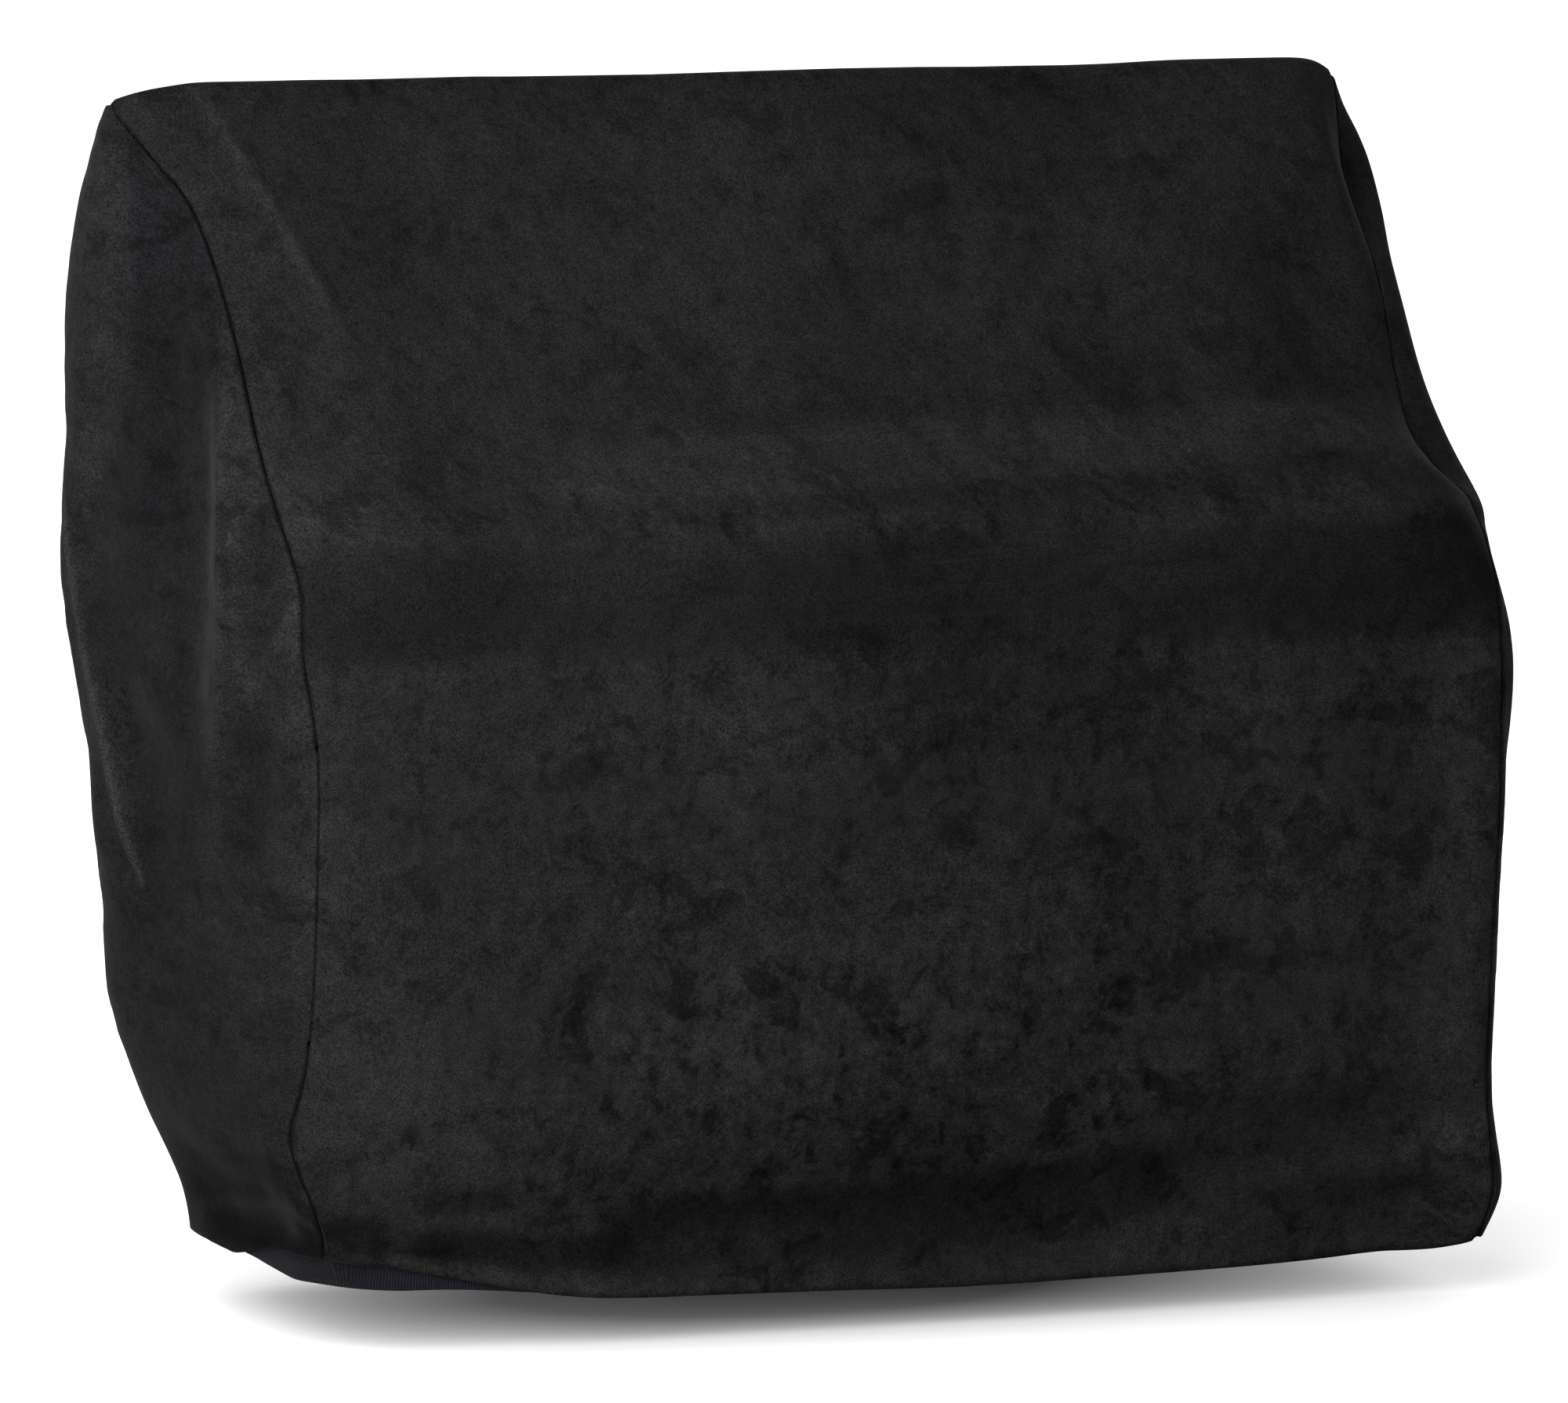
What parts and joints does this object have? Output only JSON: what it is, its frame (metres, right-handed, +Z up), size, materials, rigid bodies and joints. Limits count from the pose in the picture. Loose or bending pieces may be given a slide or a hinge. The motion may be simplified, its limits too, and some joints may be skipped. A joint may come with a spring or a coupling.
{
  "type": "fitted velour cover for a piano accordion",
  "caption": "Fitted black velour dust cover for a piano accordion: a long strip over front, slope, crest and back, an end panel at each side, and a ribbed tape inside the open hem.",
  "frame": {"origin": "inner side of the crest, half way along it, where the cover rests on the instrument", "axes": "+X runs along the crest to the right-hand end as seen from the front, -Y is the front (the keyboard side), +Z is up"},
  "size_m": [0.5228, 0.243, 0.4428],
  "materials": {
    "velour": "matt black cotton velour with a crushed pile",
    "ribbed_tape": "dark blue-black ribbed knitted tape"
  },
  "bodies": {
    "root": {"main_panel": "velour", "side_panel_left": "velour", "side_panel_right": "velour", "hem_tape": "ribbed_tape"}
  },
  "joints": []
}
